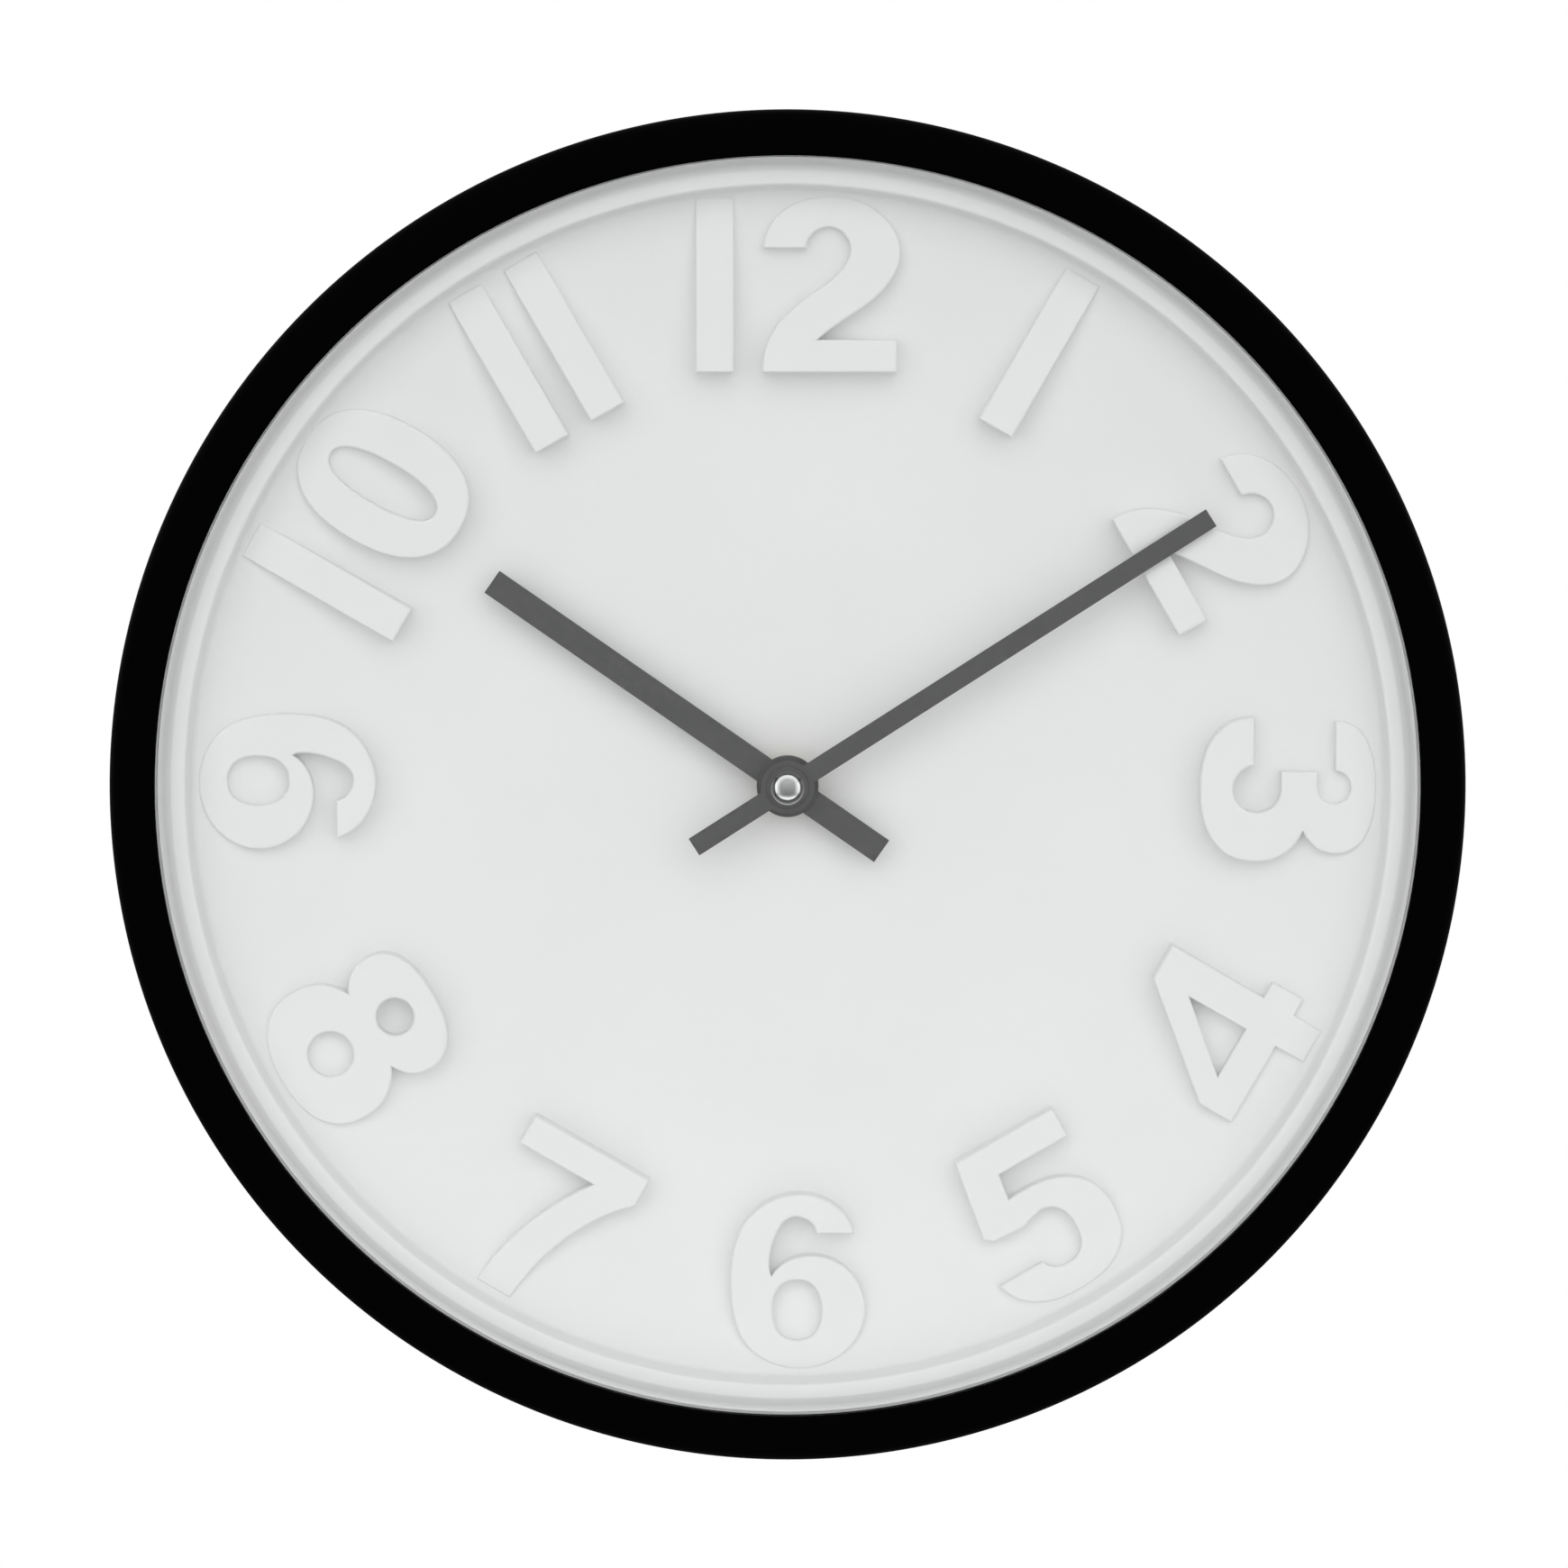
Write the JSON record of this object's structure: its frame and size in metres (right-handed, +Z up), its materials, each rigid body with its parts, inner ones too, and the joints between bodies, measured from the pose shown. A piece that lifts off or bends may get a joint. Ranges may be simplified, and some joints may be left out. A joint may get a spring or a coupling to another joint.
{
  "type": "wall clock",
  "caption": "Round quartz wall clock: black ring case, white dished dial with raised numerals, straight hands, lens, movement, battery and keyhole hanger.",
  "frame": {"origin": "centre of the keyhole's round entry, in the plane of the rear face that lies on the wall", "axes": "+Z up, +X to the right seen from the front, +Y into the wall; the dial faces -Y and the hands turn about Y, clockwise for positive"},
  "size_m": [0.3, 0.0429, 0.3],
  "materials": {
    "case_black": "satin moulded, fine grain",
    "lens": "clear, polished",
    "rubber_black": "matt",
    "dial_white": "smooth matt white",
    "screw_steel": "zinc plated",
    "plate_zinc": "zinc plated sheet",
    "movement_black": "fine textured",
    "movement_grey": "smooth moulded",
    "brass": "machined",
    "battery_jacket": "printed film jacket",
    "contact_nickel": "nickel plated",
    "board_green": "solder mask",
    "chip_black": "epoxy blob",
    "crystal_can": "drawn can",
    "core_steel": "soft magnetic sheet",
    "bobbin_white": "natural moulded",
    "winding_copper": "enamelled copper wire",
    "magnet_dark": "sintered",
    "wheel_white": "acetal",
    "wheel_black": "acetal",
    "knob_black": "fine textured",
    "hand_grey": "matt lacquer",
    "cap_chrome": "polished"
  },
  "bodies": {
    "case": {"bezel": "case_black", "lens": "lens", "lens_gasket": "rubber_black", "dial": "dial_white", "rear_case": "case_black", "case_screws": "screw_steel", "hanger_plate": "plate_zinc", "hanger_screws": "screw_steel", "movement_front_case": "movement_black", "movement_rear_case": "movement_black", "middle_plate": "movement_grey", "fixing_nut": "brass", "fixing_washer": "brass", "movement_pad": "rubber_black", "battery": "battery_jacket", "positive_contact": "contact_nickel", "negative_contact": "contact_nickel", "circuit_board": "board_green", "driver_chip": "chip_black", "quartz_crystal": "crystal_can", "coil_core": "core_steel", "coil_bobbin": "bobbin_white", "coil_winding": "winding_copper", "stator": "core_steel"},
    "hour": {"hour_wheel": "wheel_black", "hour_hand": "hand_grey", "hour_collet": "brass"},
    "minute": {"minute_arbor": "brass", "minute_hand": "hand_grey", "cap_nut": "cap_chrome"},
    "setting": {"minute_wheel": "wheel_white", "set_knob": "knob_black"},
    "rotor": {"rotor_pinion": "wheel_white", "rotor_magnet": "magnet_dark"},
    "fifth": {"fifth_wheel": "wheel_white"},
    "seconds": {"seconds_wheel": "wheel_white"},
    "third": {"third_wheel": "wheel_white"},
    "centre": {"centre_wheel": "wheel_white"}
  },
  "joints": [
    {"name": "minute_turn", "type": "hinge", "parent": "case", "child": "minute", "pos_m": [0, 0, -0.105], "axis": [0, 1, 0], "continuous": true},
    {"name": "hour_turn", "type": "hinge", "parent": "case", "child": "hour", "pos_m": [0, 0, -0.105], "axis": [0, 1, 0], "continuous": true},
    {"name": "knob_turn", "type": "hinge", "parent": "case", "child": "setting", "pos_m": [0.0096, 0, -0.105], "axis": [0, 1, 0], "continuous": true},
    {"name": "seconds_turn", "type": "hinge", "parent": "case", "child": "seconds", "pos_m": [0, 0, -0.105], "axis": [0, 1, 0], "continuous": true},
    {"name": "rotor_turn", "type": "hinge", "parent": "case", "child": "rotor", "pos_m": [0, 0, -0.0888], "axis": [0, 1, 0], "continuous": true},
    {"name": "fifth_turn", "type": "hinge", "parent": "case", "child": "fifth", "pos_m": [0, 0, -0.096], "axis": [0, 1, 0], "continuous": true},
    {"name": "third_turn", "type": "hinge", "parent": "case", "child": "third", "pos_m": [-0.009, 0, -0.105], "axis": [0, 1, 0], "continuous": true},
    {"name": "centre_turn", "type": "hinge", "parent": "case", "child": "centre", "pos_m": [0, 0, -0.105], "axis": [0, 1, 0], "continuous": true}
  ],
  "couplings": [
    {"joint": "hour_turn", "follows": "minute_turn", "ratio": 0.083333},
    {"joint": "knob_turn", "follows": "minute_turn", "ratio": -0.33333},
    {"joint": "rotor_turn", "follows": "seconds_turn", "ratio": 30},
    {"joint": "fifth_turn", "follows": "seconds_turn", "ratio": -6},
    {"joint": "third_turn", "follows": "seconds_turn", "ratio": -0.13333},
    {"joint": "centre_turn", "follows": "seconds_turn", "ratio": 0.016667}
  ]
}
